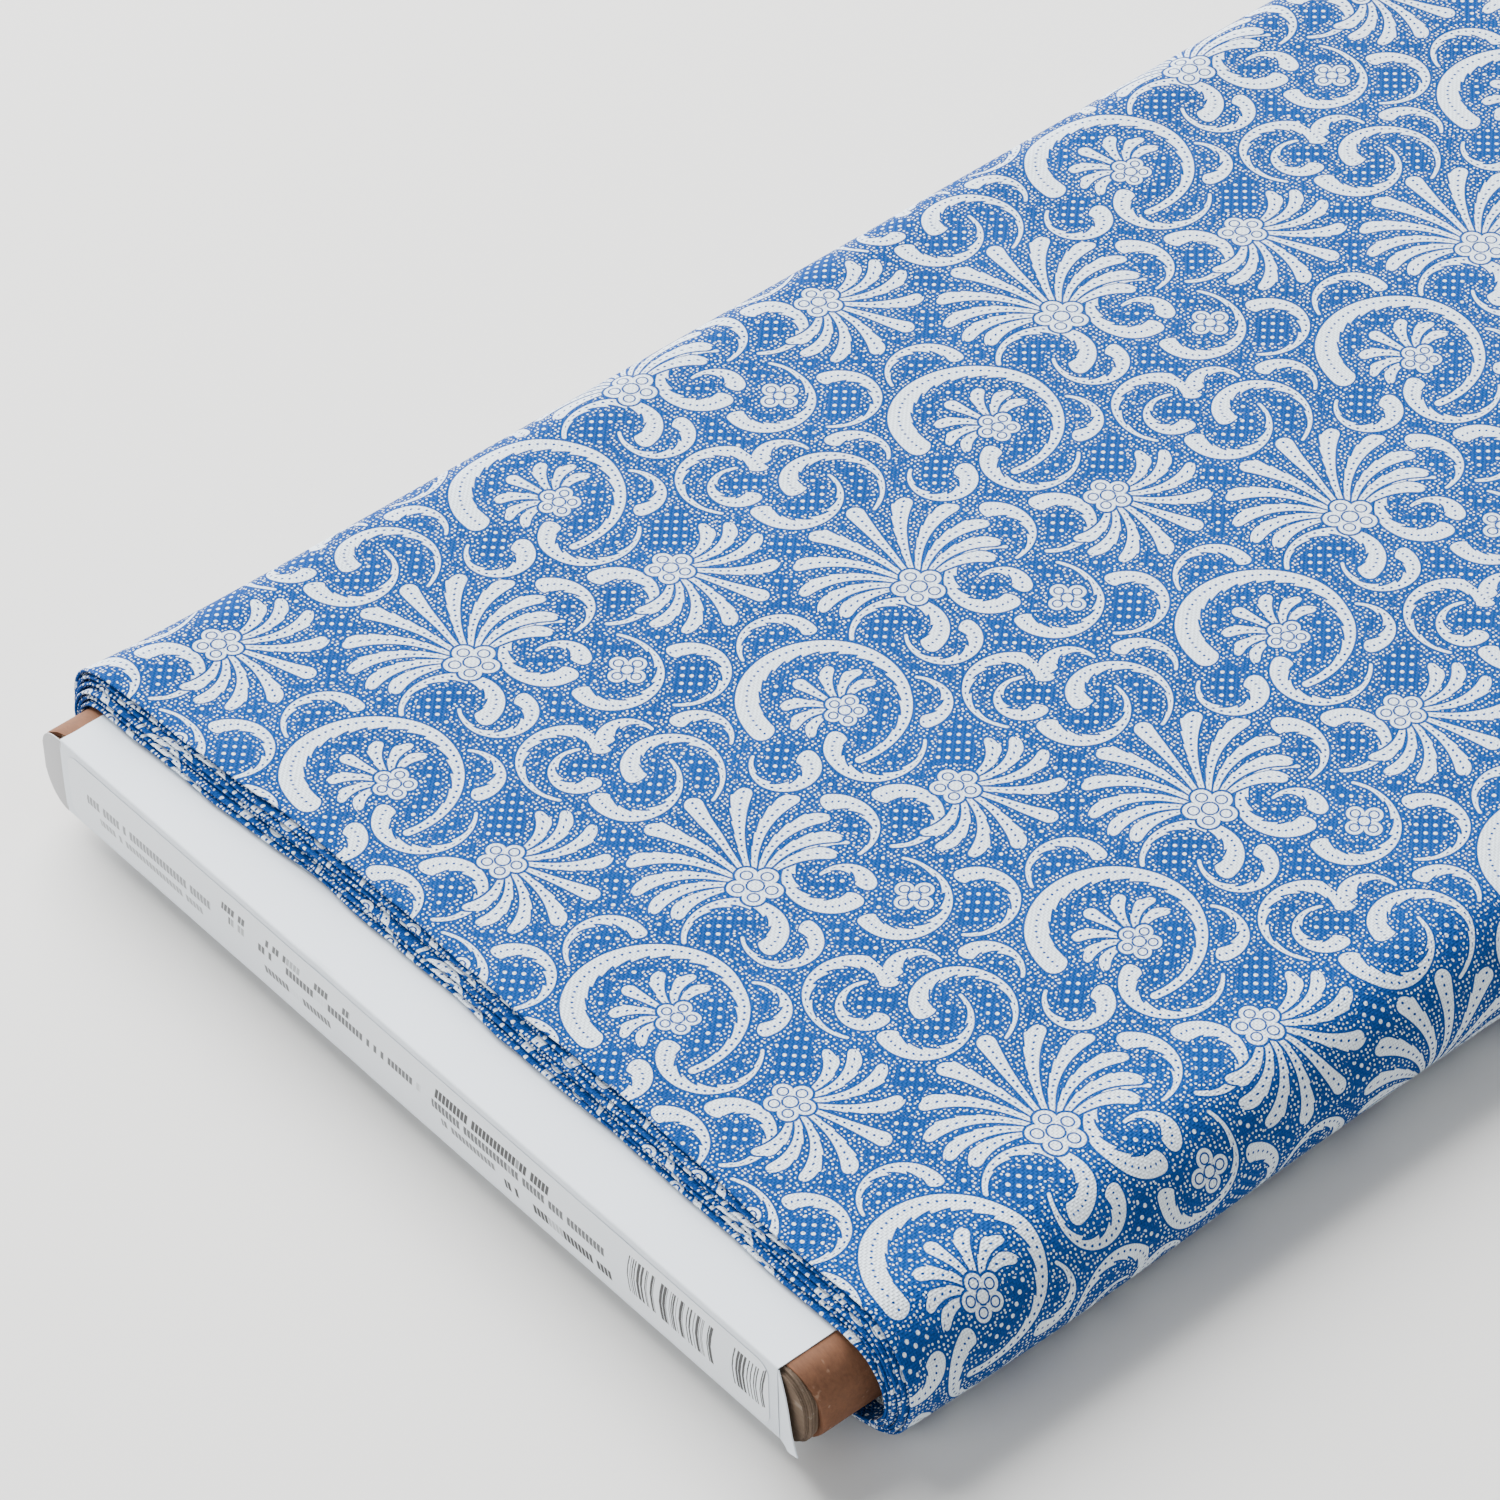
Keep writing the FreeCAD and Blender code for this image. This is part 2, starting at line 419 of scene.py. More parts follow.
plies = []
for i in range(3):
    lo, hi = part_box("label_end_ply_%d" % (i + 1))
    inset = (0.9, 0.35, 0.6)[i] * MM
    o = board_ring(BOARD_W - 2 * inset - 0.4 * MM, SLEEVE_T - 2 * inset, EDGE_R - 0.3 * MM - inset)
    bent = 0.75 * MM * smooth((o[:, 0] - FLAT_Y + 1 * MM) / (EDGE_R * 0.9))
    ply = tube("grey_ply_%d" % (i + 1), o, lo.x + 0.06 * MM + bent, hi.x - 0.02 * MM, nx=3)
    plies.append(ply)
print("sleeve from", X_SLEEVE, "plies", [len(p.data.polygons) for p in plies])


# %% [markdown]
# A sheet of paper is a grid of points with a thickness. The same helper makes
# the end paper, its loose corner and the sticker, so that each has two sides
# and a closed edge, and a UV map in metres along the paper.

# %% Paper helper
PAPER = 0.22 * MM


def sheet_of(name, P, thick):
    """Closed sheet from a grid P[i, j]; the second side lies `thick` behind."""
    P = np.asarray(P)
    n, m = P.shape[:2]
    di = np.gradient(P, axis=0)
    dj = np.gradient(P, axis=1)
    N = np.cross(di, dj)
    N /= np.linalg.norm(N, axis=2)[..., None]
    back = P - N * thick
    u = np.concatenate([np.zeros((1, m)), np.cumsum(np.linalg.norm(np.diff(P, axis=0), axis=2), 0)])
    v = np.concatenate([np.zeros((n, 1)), np.cumsum(np.linalg.norm(np.diff(P, axis=1), axis=2), 1)], 1)
    verts = np.concatenate([P.reshape(-1, 3), back.reshape(-1, 3)])
    faces, uv = [], []

    def add(ids):
        faces.append([i for i, _ in ids])
        uv.extend((u[a, b], v[a, b]) for _, (a, b) in ids)

    def key(i, j, side):
        return (side * n * m + i * m + j, (i, j))

    for i in range(n - 1):
        for j in range(m - 1):
            q = [(i, j), (i + 1, j), (i + 1, j + 1), (i, j + 1)]
            add([key(a, b, 0) for a, b in q])
            add([key(a, b, 1) for a, b in q[::-1]])
    rim = [(i, 0) for i in range(n)] + [(n - 1, j) for j in range(1, m)]
    rim += [(i, m - 1) for i in range(n - 2, -1, -1)] + [(0, j) for j in range(m - 2, 0, -1)]
    for a, b in zip(rim, rim[1:] + rim[:1]):
        add([key(*b, 0), key(*a, 0), key(*a, 1), key(*b, 1)])
    return crisp(outward(new_mesh(name, verts, faces, uv)))


# %% [markdown]
# The paper runs in over the top, turns down over the end and back underneath.
# Its fold is pressed in at two places, and its face bows inwards slightly.

# %% End paper
def face_bow(y):
    """The face of the paper isn't quite flat."""
    return 0.10 * MM * float(wander(np.array([y]), 0.09, 21)[0])


CREASE_DENTS = ((0.22, 0.021, 0.004), (0.12, -0.058, 0.006))     # depth in mm; place and width in m


def paper_path(y):
    """Section of the end paper at one place across the board: (x, z) points."""
    top, under = PAPER_TOP - MID, PAPER_UNDER - MID
    r = 0.40 * MM
    dent = sum(depth * MM * math.exp(-((y - at) / wide) ** 2) for depth, at, wide in CREASE_DENTS)
    x = X_END + face_bow(y) * 0.6 + 0.05 * MM
    pts = [(X_LEG, top)]
    for d in (26, 20, 15, 11, 8, 5.5, 3.5, 2, 1, 0.6):
        dip = 0.05 * MM * math.sin(d + 20 * y) - 0.10 * MM * math.exp(-((d - 4) / 3) ** 2)
        pts.append((x + r + d * MM, top + dip))
    for a in np.radians((90, 68, 45, 22, 0)):
        pts.append((x + r + dent - r * math.cos(a), top - r + r * math.sin(a) - dent))
    span = top - under - 2 * r
    for k in range(1, 12):
        t = k / 12
        pts.append((x - 0.12 * MM * math.sin(math.pi * t), top - r - span * t))
    for a in np.radians((0, -22, -45, -68, -90)):
        pts.append((x + r - r * math.cos(a), under + r + r * math.sin(a)))
    for d in (1, 3, 8, 18):
        pts.append((x + r + d * MM, under))
    pts.append((X_LEG, under))
    return pts


grid = [[(x, y, z + MID) for x, z in paper_path(float(y))] for y in np.linspace(-FLAT_Y, FLAT_Y, 120)]
end_sheet = sheet_of("end_sheet", grid, PAPER)

# the far end of the face is bent back round the rounded corner
grid = []
for t in np.linspace(0, 1, 12):
    y = FLAT_Y - 0.3 * MM + (EDGE_R + 0.1 * MM) * t
    over = min(0.985, max(0.0, (y - FLAT_Y) / EDGE_R))
    drop = EDGE_R * (1 - math.sqrt(1 - over ** 2)) - 0.15 * MM
    row = []
    for h in np.linspace(0, 1, 12):
        z = PAPER_TOP - 0.35 * MM - drop - h * (BOARD_T - 0.7 * MM - 2 * drop)
        back = 0.72 * MM * t ** 1.6
        row.append((X_END + 0.05 * MM + back - 0.10 * MM * math.sin(math.pi * h) * (1 - t), y, z))
    grid.append(row)
far_wrap = sheet_of("end_sheet_far_corner", grid, PAPER)
print("end paper", len(end_sheet.data.polygons), "faces, far corner", len(far_wrap.data.polygons))

# %% [markdown]
# At the near corner the paper was torn, and a tongue of it stands off the end.
# It has its own body, so it starts at the fold line and touches nothing else.

# %% Loose corner
# how far the torn edge reaches, at each depth below the board's top, in mm
TORN_EDGE = (
    (0.3, 0.1), (2, 1.3), (4, 2.5), (5.6, 3.1), (7.5, 3.7), (9.2, 4.1), (11, 4.7),
    (12.2, 5.4), (13.3, 6.2), (14.0, 6.9), (15.0, 5.4), (16.0, 4.0), (16.6, 2.8),
)
EAR_LEAN, EAR_CURL = 13.4, 4.0      # degrees off the end, and more at the tip
rows = []
for h, reach in TORN_EDGE:
    row = []
    for t in np.linspace(0, 1, 9):
        r = reach * t * MM
        curl = math.radians(EAR_LEAN + EAR_CURL * t * t)
        x = X_END + 0.03 * MM - r * math.sin(curl)
        y = -FLAT_Y - 0.15 * MM - r * math.cos(curl)
        row.append((x, y, PAPER_TOP - h * MM))
    rows.append(row)
ear = sheet_of("loose_corner", rows, PAPER)
print("loose corner reaches mm", max(r for _, r in TORN_EDGE))

# %% [markdown]
# A label with rounded corners lies on the end's face and follows its bow.

# %% Sticker
lo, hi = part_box("sticker")
half_y, half_z, corner = hi.y, (hi.z - lo.z) / 2, 2.6 * MM
bends = half_y - corner + corner * np.cos(np.radians(np.linspace(0, 90, 7)))
cols = np.unique(np.concatenate([np.linspace(-half_y, half_y, 60), bends, -bends]).round(7))
P = []
for y in cols:
    in_edge = max(0.0, abs(y) - (half_y - corner))
    h = half_z - corner + math.sqrt(max(1e-9, corner ** 2 - in_edge ** 2))
    col = []
    for t in np.linspace(-1, 1, 7):
        z = (lo.z + hi.z) / 2 + h * t
        sag = -0.12 * MM * math.sin(math.pi * (z - PAPER_UNDER) / BOARD_T)
        col.append((X_END + sag + 0.6 * face_bow(float(y)) - 0.03 * MM, y, z))
    P.append(col)
sticker = sheet_of("label_sticker", P, 0.05 * MM)
STICKER_W, STICKER_H = 2000 * half_y, 2000 * half_z      # millimetres
print("sticker mm", STICKER_W, STICKER_H)

# %% [markdown]
# The free end of the cloth is a raw cut edge, so short yarns hang out of it.
# They repeat along a line, so a Geometry Nodes tree places them: points along
# the edge, a bent yarn on each, turned and scaled by a fixed seed.

# %% Loose yarns along the cut edge
def yarn_tree():
    tree = bpy.data.node_groups.new("loose_yarns", "GeometryNodeTree")
    for label, kind, default in (("Geometry", "Geometry", None), ("Count", "Int", 120), ("Seed", "Int", 3),
                                 ("Yarn radius", "Float", 0.0001), ("Yarn length", "Float", 0.002),
                                 ("Finish", "Material", None)):
        item = tree.interface.new_socket(label, in_out="INPUT", socket_type="NodeSocket" + kind)
        if default is not None:
            item.default_value = default
    tree.interface.new_socket("Geometry", in_out="OUTPUT", socket_type="NodeSocketGeometry")

    def node(kind, **inputs):
        n = tree.nodes.new(kind)
        n.location = (200 * len(tree.nodes), 0)
        for key, value in inputs.items():
            socket = n.inputs[key.replace("_", " ")]
            if isinstance(value, bpy.types.NodeSocket):
                tree.links.new(value, socket)
            else:
                socket.default_value = value
        return n

    gin = node("NodeGroupInput")
    line = node("GeometryNodeMeshToCurve", Mesh=gin.outputs["Geometry"])
    even = node("GeometryNodeResampleCurve", Curve=line.outputs["Curve"], Count=gin.outputs["Count"])
    arc = node("GeometryNodeCurveQuadraticBezier", Resolution=7, Start=(0, 0, 0), Middle=(0.15, 0, 0.55),
               End=(-0.25, 0, 1.0))
    size = node("GeometryNodeTransform", Geometry=arc.outputs["Curve"])
    scale = node("ShaderNodeCombineXYZ", X=gin.outputs["Yarn length"], Y=gin.outputs["Yarn length"],
                 Z=gin.outputs["Yarn length"])
    tree.links.new(scale.outputs[0], size.inputs["Scale"])
    profile = node("GeometryNodeCurvePrimitiveCircle", Resolution=5, Radius=gin.outputs["Yarn radius"])
    tube_node = node("GeometryNodeCurveToMesh", Curve=size.outputs["Geometry"],
                     Profile_Curve=profile.outputs["Curve"], Fill_Caps=True)
    turn = node("FunctionNodeRandomValue")
    turn.data_type = "FLOAT_VECTOR"
    turn.inputs[0].default_value, turn.inputs[1].default_value = (2.5, -0.5, -0.7), (3.4, 0.5, 0.7)
    tree.links.new(gin.outputs["Seed"], turn.inputs["Seed"])
    grow = node("FunctionNodeRandomValue")
    grow.inputs[2].default_value, grow.inputs[3].default_value = 0.35, 1.3
    tree.links.new(gin.outputs["Seed"], grow.inputs["Seed"])
    put = node("GeometryNodeInstanceOnPoints", Points=even.outputs["Curve"],
               Instance=tube_node.outputs["Mesh"])
    tree.links.new(turn.outputs[0], put.inputs["Rotation"])
    tree.links.new(grow.outputs[1], put.inputs["Scale"])
    real = node("GeometryNodeRealizeInstances", Geometry=put.outputs["Instances"])
    look = node("GeometryNodeSetMaterial", Geometry=real.outputs["Geometry"], Material=gin.outputs["Finish"])
    gout = node("NodeGroupOutput")
    tree.links.new(look.outputs[0], gout.inputs[0])
    return tree


def grown(name, path, tree, **settings):
    """Runs a tree once on a line of points and keeps the plain mesh."""
    mesh = bpy.data.meshes.new(name + "_path")
    mesh.from_pydata([tuple(p) for p in path], [(i, i + 1) for i in range(len(path) - 1)], [])
    guide = bpy.data.objects.new(name + "_path", mesh)
    bpy.context.scene.collection.objects.link(guide)
    modifier = guide.modifiers.new("grow", "NODES")
    modifier.node_group = tree
    for item in tree.interface.items_tree:
        if item.in_out == "INPUT" and item.name in settings:
            modifier[item.identifier] = settings[item.name]
    shape = bpy.data.meshes.new_from_object(guide.evaluated_get(bpy.context.evaluated_depsgraph_get()))
    bpy.data.objects.remove(guide)
    shape.name = name
    obj = bpy.data.objects.new(name, shape)
    bpy.context.scene.collection.objects.link(obj)
    return obj


yarn_finish = bpy.data.materials.new("loose_yarn")
yarn_finish.use_nodes = True
end = outer[-1]
xs = np.linspace(front_edge(outer[-2:])[0] + 2 * MM, X_FAR - 2 * MM, 90)
edge_y = end[PY] + end[OUT_Y] * PITCH * 0.5 + 0.1 * MM
edge_path = [(x, edge_y + 0.1 * MM * math.sin(900 * x), end[PZ] + MID + 0.25 * MM) for x in xs]
yarns = grown("loose_yarns", edge_path, yarn_tree(), Count=150, Seed=5, Finish=yarn_finish,
              **{"Yarn radius": 0.00011, "Yarn length": 0.0019})
print("loose yarns", len(yarns.data.polygons), "faces")

# %% [markdown]
# Shader groups are built from small sums, so this cell makes sums short to
# write: a Val is one socket, and the usual signs add Math nodes to its tree.

# %% Sums in a shader tree
class Val:
    def __init__(self, tree, socket):
        self.tree, self.socket = tree, socket

    def __neg__(self):
        return calc("MULTIPLY", self, -1.0)


for sign, op in (("add", "ADD"), ("sub", "SUBTRACT"), ("mul", "MULTIPLY"), ("truediv", "DIVIDE")):
    setattr(Val, "__" + sign + "__", lambda a, b, op=op: calc(op, a, b))
    setattr(Val, "__r" + sign + "__", lambda a, b, op=op: calc(op, b, a))


def place(tree, node):
    """Lays nodes out in rows of twelve, so that a tree can be read."""
    n = len(tree.nodes)
    node.location = (180 * (n % 12), -190 * (n // 12))
    return node


def wire(tree, socket, value):
    if isinstance(value, Val):
        tree.links.new(value.socket, socket)
    else:
        socket.default_value = value


def calc(op, *args, clamp=False):
    tree = next(a.tree for a in args if isinstance(a, Val))
    node = place(tree, tree.nodes.new("ShaderNodeMath"))
    node.operation, node.use_clamp = op, clamp
    for socket, a in zip(node.inputs, args):
        wire(tree, socket, a)
    return Val(tree, node.outputs[0])


def add_node(tree, kind, inputs=(), out=0, **settings):
    node = place(tree, tree.nodes.new(kind))
    for key, value in settings.items():
        setattr(node, key, value)
    for key, value in dict(inputs).items():
        wire(tree, node.inputs[key], value)
    return Val(tree, node.outputs[out])


def xy_of(v):
    node = place(v.tree, v.tree.nodes.new("ShaderNodeSeparateXYZ"))
    v.tree.links.new(v.socket, node.inputs[0])
    return Val(v.tree, node.outputs[0]), Val(v.tree, node.outputs[1])


def length2(a, b):
    pair = add_node(a.tree, "ShaderNodeCombineXYZ", {"X": a, "Y": b})
    return add_node(a.tree, "ShaderNodeVectorMath", {0: pair}, out="Value", operation="LENGTH")


def madd(a, b, c):
    return calc("MULTIPLY_ADD", a, b, c)


def soft_step(value, edge, width):
    """0 below the edge and 1 above it, over a narrow band."""
    return calc("MULTIPLY_ADD", value, 1 / width, 0.5 - edge / width, clamp=True)


def group(name, inputs, outputs, body):
    """Shader group with named sockets; `body` gets the inputs and gives the outputs."""
    tree = bpy.data.node_groups.new(name, "ShaderNodeTree")
    for label, kind, default in inputs:
        item = tree.interface.new_socket(label, in_out="INPUT", socket_type="NodeSocket" + kind)
        if default is not None:
            item.default_value = default
    for label, kind in outputs:
        tree.interface.new_socket(label, in_out="OUTPUT", socket_type="NodeSocket" + kind)
    gin = place(tree, tree.nodes.new("NodeGroupInput"))
    results = body(*[Val(tree, gin.outputs[label]) for label, _, _ in inputs])
    gout = place(tree, tree.nodes.new("NodeGroupOutput"))
    for (label, _), value in zip(outputs, results):
        tree.links.new(value.socket, gout.inputs[label])
    return tree


def use(tree, made, **values):
    node = place(tree, tree.nodes.new("ShaderNodeGroup"))
    node.node_tree = made
    for key, value in values.items():
        wire(tree, node.inputs[key.replace("_", " ")], value)
    return [Val(tree, s) for s in node.outputs]


# %% [markdown]
# The print is a block design: palmettes, rings, tapered scrolls and small
# flowers in white on blue. Each motif is a distance in millimetres, below zero
# inside its outline, so one number gives the white, the blue outline and the
# stippled halo. A second number is the distance to the row of dots that runs
# down the middle of each leaf.

# %% Motifs
def polar(v):
    x, y = xy_of(v)
    return length2(x, y), calc("ARCTAN2", y, x)


def palmette_body(v, side, step, radius, droop, curl, base, tip, start):
    r, a = polar(v)
    q = calc("DIVIDE", r * r, radius * radius)
    f = madd(q, curl, 1.0)
    b = calc("ABSOLUTE", a) / f
    k = calc("MINIMUM", calc("ROUND", b / step), side)
    off = b - k * step
    g = r * f
    reach = radius * (1.0 - k * k * droop)
    over = calc("MAXIMUM", calc("MAXIMUM", r - reach, start - r), 0.0)
    t = calc("MINIMUM", r / reach, 1.0)
    barb = calc("FRACT", r * (1 / 3.6)) * t * calc("LESS_THAN", off, 0.0)
    across = g * off
    wide = madd(t * t, tip - base, base) + barb * 0.5
    inside = length2(across, over) - wide
    gap = g * (step * 0.5 - calc("ABSOLUTE", off))
    inside = calc("MAXIMUM", inside, 0.16 - gap)
    dots = calc("MAXIMUM", length2(across, calc("PINGPONG", r, 0.8)), inside + 0.8)
    return inside, dots


def scroll_body(v, radius, half_angle, growth, tail, head):
    r, a = polar(v)
    c = calc("MAXIMUM", calc("MINIMUM", a, half_angle), -half_angle)
    t = madd(c, 0.5 / half_angle, 0.5)
    across = r - madd(c, growth * radius, radius)
    s = a * radius
    barb = calc("FRACT", s * (1 / 4.2)) * (t * (1.0 - t)) * calc("LESS_THAN", across, 0.0)
    wide = madd(calc("POWER", t, 1.6), head - tail, tail) + barb * 3.6
    inside = length2(across, (a - c) * radius) - wide
    dots = calc("MAXIMUM", length2(across, calc("PINGPONG", s, 0.8)), inside + 0.8)
    return inside, dots


def flower_body(v, step, petal_at, petal):
    r, a = polar(v)
    b = a - calc("ROUND", a / step) * step
    p = length2(r * calc("COSINE", b) - petal_at, r * calc("SINE", b))
    inside = calc("MINIMUM", p - petal, r - petal_at * 0.6)
    ring = calc("ABSOLUTE", r - petal_at * 0.5) + 0.08
    petal_ring = calc("MAXIMUM", calc("ABSOLUTE", p - petal * 0.52) + 0.12, petal_at * 0.55 - r)
    dots = calc("MAXIMUM", calc("MINIMUM", ring, petal_ring), inside + 0.5)
    return inside, dots


F = "Float"
OUT = (("inside", F), ("dots", F))
POINT = ("point", "Vector", None)
palmette = group("palmette", (
    POINT, ("side", F, 6.0), ("step", F, 0.2), ("radius", F, 25.0), ("droop", F, 0.012),
    ("curl", F, 0.6), ("base", F, 0.45), ("tip", F, 2.0), ("start", F, 4.5)), OUT, palmette_body)
scroll = group("tapered_scroll", (
    POINT, ("radius", F, 8.0), ("half angle", F, 1.5), ("growth", F, 0.1), ("tail", F, 0.4),
    ("head", F, 2.3)), OUT, scroll_body)
flower = group("small_flower", (
    POINT, ("step", F, 1.2566), ("petal at", F, 3.2), ("petal", F, 2.3)), OUT, flower_body)

# %% [markdown]
# One repeat of the design is 78 by 84 units, and each column drops by half a
# repeat. On the cloth a unit is 1 / SHRINK mm. The motifs hang on three
# centres, so the cloth's coordinates are wrapped only three times. Each row is
# its centre's number, x, y, turn in degrees, mirrored, then the motif's sizes.

# %% Repeat
COLUMN, DROP = 78.0, 84.0
SHRINK = 1.14            # the design lies on the cloth this much smaller
PALMETTES = (
    (0, -3, -9, 78, 1, 5, 0.235, 25.0, 0.0155, 0.7, 0.45, 1.96, 4.5),
    (1, 2, -5, 100, 1, 3, 0.33, 11.5, 0.03, 0.7, 0.4, 1.51, 3.2),
    (2, 4, 7, -68, 1, 4, 0.27, 19.5, 0.02, 0.75, 0.45, 1.79, 4.2),
)
FLOWERS = (
    (0, -3, -9, 78, 1, 1.2566, 3.3, 2.2),
    (1, 2, -5, 100, 1, 1.2566, 2.7, 1.8),
    (2, 4, 7, -68, 1, 1.2566, 3.0, 2.0),
    (2, -22, -10, 0, 1, 1.5708, 2.6, 1.9),
)
SCROLLS = (
    (0, -13.5, -17, 35, -1, 8.5, 2.0, -0.14, 0.5, 2.24),
    (0, 8.5, -18, 150, 1, 8.5, 2.0, -0.14, 0.5, 2.24),
    (0, 3.6, 26.9, 40, 1, 9.2, 2.08, -0.2, 0.4, 2.24),
    (0, -4.4, 27.4, 265, -1, 8.6, 1.69, -0.16, 0.4, 2.24),
    (0, -8.2, -23.9, 249, 1, 6.6, 1.97, -0.15, 0.4, 1.9),
    (0, 9.5, -20.0, 34, -1, 4.6, 1.25, -0.13, 0.4, 2.13),
    (1, 0, 0, 35, 1, 16.0, 2.45, -0.05, 0.9, 2.58),
    (1, 31.8, -21.9, 101, -1, 9.1, 2.06, -0.15, 0.4, 2.13),
    (1, -0.9, -15.6, 222, -1, 8.8, 1.82, -0.14, 0.4, 2.02),
    (1, -16.6, -9.4, 234, 1, 5.9, 2.04, -0.11, 0.4, 2.24),
    (1, 30.2, -26.3, 164, 1, 5.1, 1.94, -0.16, 0.4, 1.9),
    (1, 13.7, -12.8, 330, -1, 6.4, 1.36, -0.12, 0.4, 1.79),
    (1, -24.4, 9.3, 14, 1, 6.2, 1.29, -0.17, 0.4, 1.9),
    (1, -35.2, 17.2, 64, 1, 4.9, 1.32, -0.15, 0.4, 2.02),
    (2, -9, 9, -30, 1, 7.5, 1.9, -0.14, 0.5, 2.24),
    (2, -26.7, -9.3, 287, -1, 9.4, 1.96, -0.19, 0.4, 2.02),
    (2, -13.8, -17.7, 324, 1, 8.0, 1.86, -0.14, 0.4, 1.9),
    (2, 5.5, -24.5, 82, -1, 7.7, 1.54, -0.14, 0.4, 1.68),
    (2, -20.3, 15.2, 336, 1, 7.9, 1.32, -0.2, 0.4, 2.24),
)
CENTRES = ((0.0, 0.0), (39.0, 21.0), (39.0, -21.0))


def wrapped(x, y, centre):
    x, y = x - centre[0], y - centre[1]
    column = calc("ROUND", x / COLUMN)
    x = madd(column, -COLUMN, x)
    y = madd(column, -DROP / 2, y)
    y = madd(calc("ROUND", y / DROP), -DROP, y)
    return add_node(x.tree, "ShaderNodeCombineXYZ", {"X": x, "Y": y})


def block_print_body(v):
    tree = v.tree
    x, y = xy_of(v)
    centres = [wrapped(x, y, c) for c in CENTRES]
    inside = dots = None
    jobs = []
    for made, rows, names in (
            (scroll, SCROLLS, ("radius", "half_angle", "growth", "tail", "head")),
            (palmette, PALMETTES, ("side", "step", "radius", "droop", "curl", "base", "tip", "start")),
            (flower, FLOWERS, ("step", "petal_at", "petal"))):
        jobs += [(made, row, names) for row in rows]
    for made, (c, px, py, turn, flip, *sizes), names in jobs:
        local = add_node(tree, "ShaderNodeMapping", {"Vector": centres[c]}, vector_type="TEXTURE")
        node = local.socket.node
        node.inputs["Location"].default_value = (px, py, 0)
        node.inputs["Rotation"].default_value = (0, 0, math.radians(turn))
        node.inputs["Scale"].default_value = (1, flip, 1)
        one, row = use(tree, made, point=local, **dict(zip(names, map(float, sizes))))
        if inside is None:
            inside, dots = one, row
        else:  # the later motif lies on top, with a thin blue line round it
            inside = calc("MINIMUM", calc("MAXIMUM", inside, 0.42 - one), one)
            dots = calc("MINIMUM", calc("MAXIMUM", dots, 0.8 - one), row)
    white = 1.0 - soft_step(inside, -0.07, 0.14)
    spine = 1.0 - soft_step(dots, 0.3, 0.12)
    # halo of fine stipples, then rows of pin dots in the open ground
    cell = add_node(tree, "ShaderNodeTexVoronoi", {"Vector": v, "Scale": 1.05, "Randomness": 0.55},
                    voronoi_dimensions="2D", feature="F1")
    stipple = 1.0 - soft_step(cell, 0.225, 0.12)
    band = soft_step(inside, 0.42, 0.1) * (1.0 - soft_step(inside, 1.9, 0.3))
    u, w = (x + y) / 3.1, (x - y) / 3.1
    pin = length2(calc("PINGPONG", u, 0.5) * 2.2, calc("PINGPONG", w, 0.42) * 2.2)
    pins = (1.0 - soft_step(pin, 0.41, 0.14)) * soft_step(inside, 2.3, 0.2)
    paint_free = calc("MAXIMUM", white * (1.0 - spine), calc("MAXIMUM", stipple * band, pins))
    return (paint_free, inside)


block_print = group("block_print", (("point in mm", "Vector", None),), (("white", F), ("inside", F)),
                    block_print_body)
print("nodes in the print", len(block_print.nodes) + len(PALMETTES) * len(palmette.nodes)
      + len(FLOWERS) * len(flower.nodes) + len(SCROLLS) * len(scroll.nodes))


# %% [markdown]
# Two more effects that several finishes share. The weave is two sets of yarns
# that pass over each other, uneven as spun cotton is. Its tone is lighter on the
# yarns' crowns and darker between them, which is painted shade of the yarns'
# relief, and streaked by slubs, which is the yarn's own unevenness. Paper fibre
# is a cloudy tone with a fine grain, longer one way than the other.

# %% Weave and fibre
def weave_body(v, pitch, uneven):
    tree = v.tree
    slow = add_node(tree, "ShaderNodeTexNoise", {"Vector": v, "Scale": 0.9, "Detail": 2.0}, out="Color")
    bent = add_node(tree, "ShaderNodeVectorMath", {0: slow, 1: (0.16, 0.16, 0.0), 2: v},
                    operation="MULTIPLY_ADD")
    x, y = xy_of(bent)
    x, y = x / pitch, y / (pitch * 0.9)
    warp = calc("ABSOLUTE", calc("SINE", x * math.pi))
    weft = calc("ABSOLUTE", calc("SINE", y * math.pi))
    over = calc("MODULO", calc("FLOOR", x) + calc("FLOOR", y), 2.0)
    over = calc("ABSOLUTE", over)
    yarn = madd(over, warp - weft, weft)
    streaks = add_node(tree, "ShaderNodeMapping", {"Vector": v})
    streaks.socket.node.inputs["Scale"].default_value = (0.05, 2.4, 1.0)
    slub = add_node(tree, "ShaderNodeTexNoise", {"Vector": streaks, "Scale": 1.0, "Detail": 3.0})
    height = madd(slub, uneven, yarn)
    # tone: darker between the yarns is painted shade; the slub streaks are real unevenness
    tone = madd(yarn, 0.34, madd(slub - 0.5, uneven * 0.7, 0.77))
    return height, tone


weave = group("cotton_weave", (("point in mm", "Vector", None), ("pitch", F, 0.42), ("uneven", F, 0.5)),
              (("height", F), ("tone", F)), weave_body)


def fibre_body(v, grain, cloud, flecks, contrast):
    tree = v.tree
    stretch = add_node(tree, "ShaderNodeMapping", {"Vector": v})
    stretch.socket.node.inputs["Scale"].default_value = (1.0, 0.28, 1.0)
    fine = add_node(tree, "ShaderNodeTexNoise",
                    {"Vector": stretch, "Scale": grain, "Detail": 5.0, "Roughness": 0.65})
    slow = add_node(tree, "ShaderNodeTexNoise", {"Vector": v, "Scale": cloud, "Detail": 3.0})
    spot = add_node(tree, "ShaderNodeTexNoise", {"Vector": stretch, "Scale": grain * 0.35, "Detail": 2.0})
    fleck = soft_step(spot, 0.68, 0.06) * flecks
    tone = madd(fine - 0.5, contrast, madd(slow - 0.5, contrast * 0.8, 1.0))
    return fine, tone, fleck


fibre = group("paper_fibre", (
    POINT, ("grain", F, 3000.0), ("cloud", F, 60.0), ("flecks", F, 0.2), ("contrast", F, 0.35)),
    (("height", F), ("tone", F), ("fleck", F)), fibre_body)


